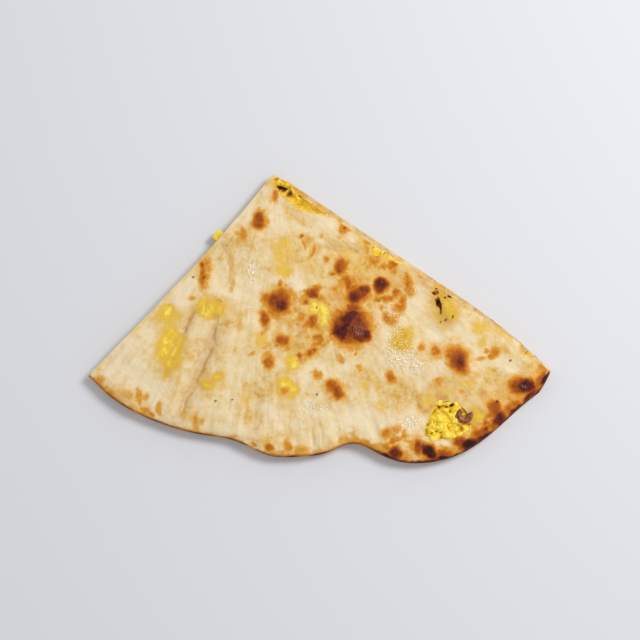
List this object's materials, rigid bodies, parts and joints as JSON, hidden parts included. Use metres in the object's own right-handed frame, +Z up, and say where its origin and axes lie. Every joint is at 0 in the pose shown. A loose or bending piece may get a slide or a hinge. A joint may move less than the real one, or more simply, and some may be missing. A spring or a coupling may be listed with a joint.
{
  "type": "onion kulcha wedge",
  "caption": "Wedge of a round stuffed flatbread: two thin baked sheets joined at the rim, with a yellow onion filling between them.",
  "frame": {"origin": "middle of the box round the wedge, at the level that it rests on", "axes": "+Z up, +X along the long way of the wedge, +Y towards the tip where the two cuts meet"},
  "size_m": [0.2025, 0.1276, 0.0095],
  "materials": {
    "baked_dough": "matte baked dough with a thin film of butter, browned and charred in spots",
    "yellow_filling": "moist, crumbly spiced mash",
    "red_onion": "cooked onion, wet sheen"
  },
  "bodies": {
    "root": {"bread": "baked_dough", "filling": "yellow_filling", "onion_slice_1": "red_onion", "onion_slice_2": "red_onion"}
  },
  "joints": []
}
